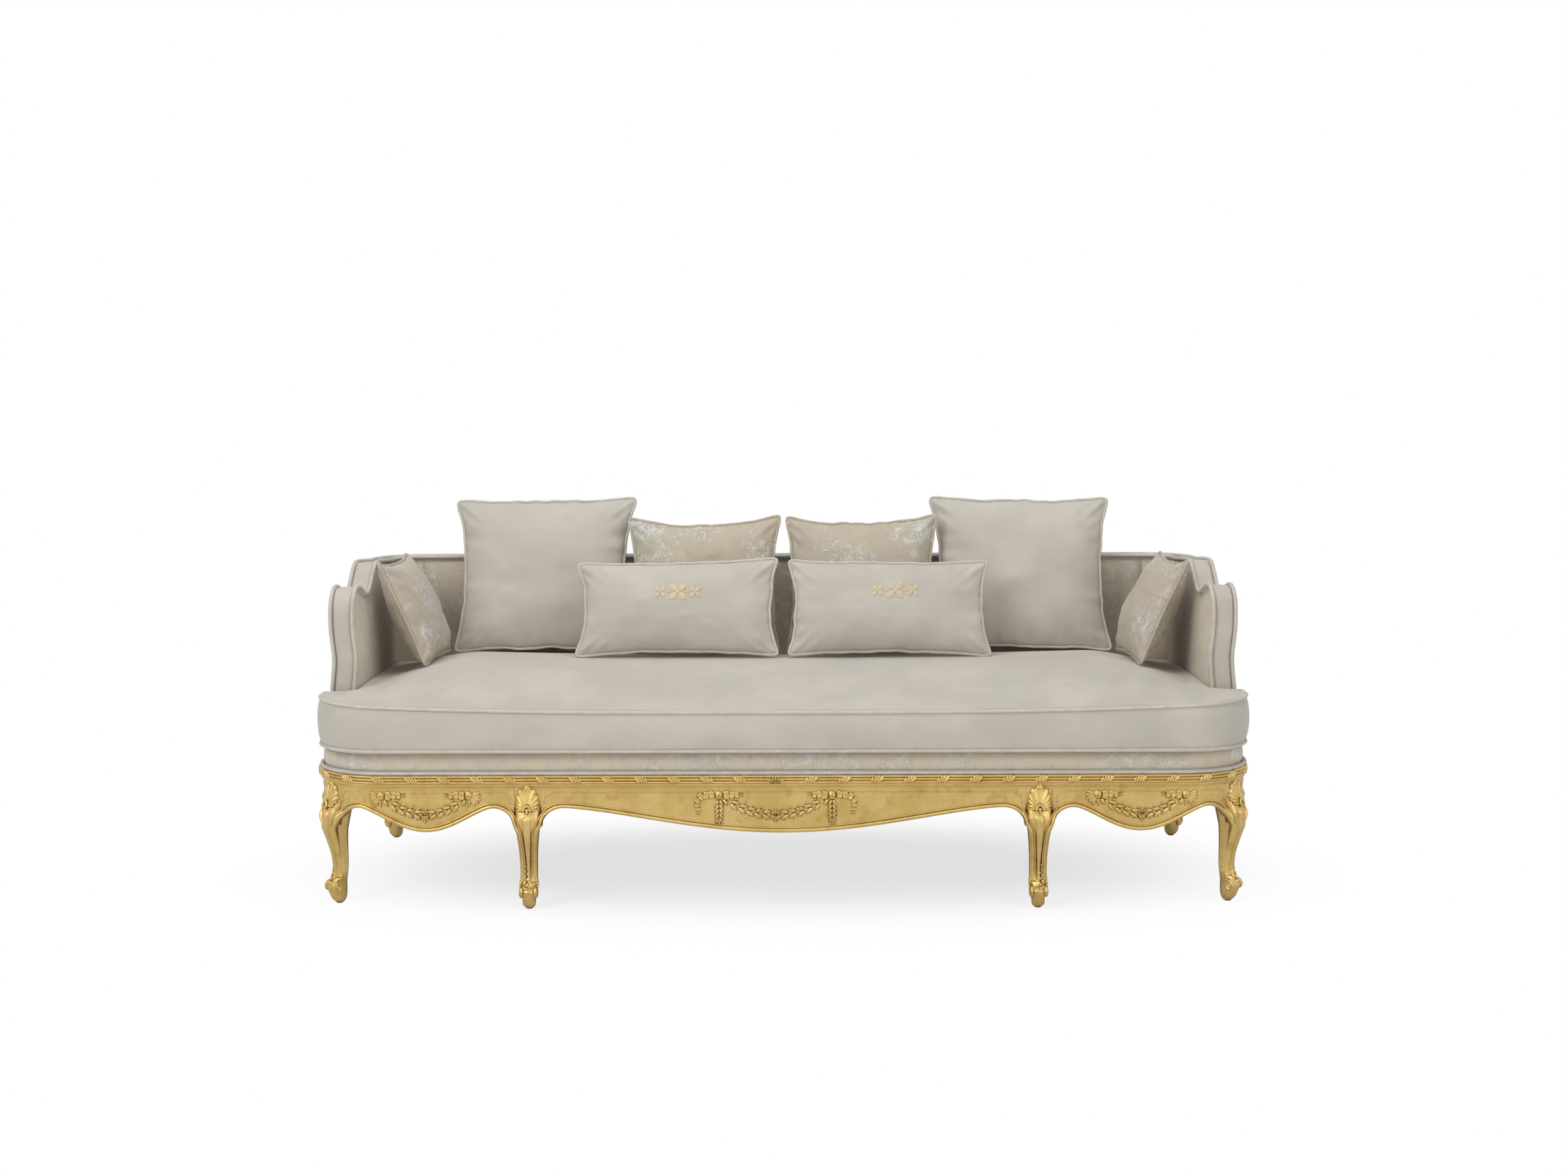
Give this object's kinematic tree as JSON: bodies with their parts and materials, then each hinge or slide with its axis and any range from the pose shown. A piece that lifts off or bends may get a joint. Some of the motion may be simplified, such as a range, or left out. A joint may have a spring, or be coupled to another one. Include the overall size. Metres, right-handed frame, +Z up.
{
  "type": "cabriole sofa",
  "caption": "Cabriole sofa with a carved gilt frame, scroll-footed cabriole legs, swagged serpentine apron, low wrap-around arms and back, a long T-shaped seat cushion and loose pillows",
  "frame": {"origin": "centre of the footprint of the whole sofa, on the floor", "axes": "+X to the sitter's left along the sofa's length, seen to the right from the front; +Y from the front edge of the seat to the back; +Z up"},
  "size_m": [2.3498, 0.9419, 0.978],
  "materials": {
    "gilt": "carved wood with aged gold leaf, darker in the hollows",
    "beech": "bare planed hardwood, hidden",
    "velvet": "pale greige velvet",
    "toile": "beige woven fabric with a scattered pale foliage pattern",
    "cord": "self-covered piping cord",
    "jute": "woven jute webbing, hidden",
    "cambric": "thin black non-woven cloth"
  },
  "bodies": {
    "sofa": {"front_rail_middle": "gilt", "front_rail_left": "gilt", "front_rail_right": "gilt", "side_rail_left": "gilt", "side_rail_right": "gilt", "rear_rail": "gilt", "front_leg_left": "gilt", "front_leg_right": "gilt", "inner_leg_left": "gilt", "inner_leg_right": "gilt", "rear_leg_left": "gilt", "rear_leg_right": "gilt", "front_moulding": "gilt", "side_moulding_left": "gilt", "side_moulding_right": "gilt", "rear_moulding": "gilt", "garland_middle": "gilt", "garland_left": "gilt", "garland_right": "gilt", "corner_blocks": "beech", "seat_stretchers": "beech", "webbing_long": "jute", "webbing_cross": "jute", "dust_cover": "cambric", "seat_deck": "toile", "deck_welt": "cord", "arm_posts": "beech", "arm_rails": "beech", "back_corner_posts": "beech", "back_top_rail": "beech", "tack_rails": "beech", "back_uprights": "beech", "inside_back": "toile", "inside_corners": "toile", "inside_arm_left": "toile", "inside_arm_right": "toile", "outside_back": "velvet", "outside_corners": "velvet", "outside_arm_left": "velvet", "outside_arm_right": "velvet", "band_back": "velvet", "band_corners": "velvet", "band_arms": "velvet", "outer_welt": "cord", "inner_welt": "cord"},
    "seat_cushion": {"seat_cushion": "velvet"},
    "large_pillow_left": {"large_pillow_left": "velvet"},
    "large_pillow_right": {"large_pillow_right": "velvet"},
    "medium_pillow_left": {"medium_pillow_left": "toile"},
    "medium_pillow_right": {"medium_pillow_right": "toile"},
    "lumbar_pillow_left": {"lumbar_pillow_left": "velvet"},
    "lumbar_pillow_right": {"lumbar_pillow_right": "velvet"},
    "small_pillow_left": {"small_pillow_left": "toile"},
    "small_pillow_right": {"small_pillow_right": "toile"}
  },
  "joints": [
    {"name": "seat_cushion_lift", "type": "slide", "parent": "sofa", "child": "seat_cushion", "axis": [0, 0, 1], "range_m": [0, 0.6]},
    {"name": "large_pillow_left_lift", "type": "slide", "parent": "seat_cushion", "child": "large_pillow_left", "axis": [0, 0.2756, 0.9613], "range_m": [0, 0.5]},
    {"name": "large_pillow_right_lift", "type": "slide", "parent": "seat_cushion", "child": "large_pillow_right", "axis": [0, 0.2756, 0.9613], "range_m": [0, 0.5]},
    {"name": "medium_pillow_left_lift", "type": "slide", "parent": "seat_cushion", "child": "medium_pillow_left", "axis": [0, 0.2756, 0.9613], "range_m": [0, 0.5]},
    {"name": "medium_pillow_right_lift", "type": "slide", "parent": "seat_cushion", "child": "medium_pillow_right", "axis": [0, 0.2756, 0.9613], "range_m": [0, 0.5]},
    {"name": "lumbar_pillow_left_lift", "type": "slide", "parent": "seat_cushion", "child": "lumbar_pillow_left", "axis": [0, 0.2756, 0.9613], "range_m": [0, 0.5]},
    {"name": "lumbar_pillow_right_lift", "type": "slide", "parent": "seat_cushion", "child": "lumbar_pillow_right", "axis": [0, 0.2756, 0.9613], "range_m": [0, 0.5]},
    {"name": "small_pillow_left_lift", "type": "slide", "parent": "seat_cushion", "child": "small_pillow_left", "axis": [0, 0, 1], "range_m": [0, 0.5]},
    {"name": "small_pillow_right_lift", "type": "slide", "parent": "seat_cushion", "child": "small_pillow_right", "axis": [0, 0, 1], "range_m": [0, 0.5]}
  ]
}
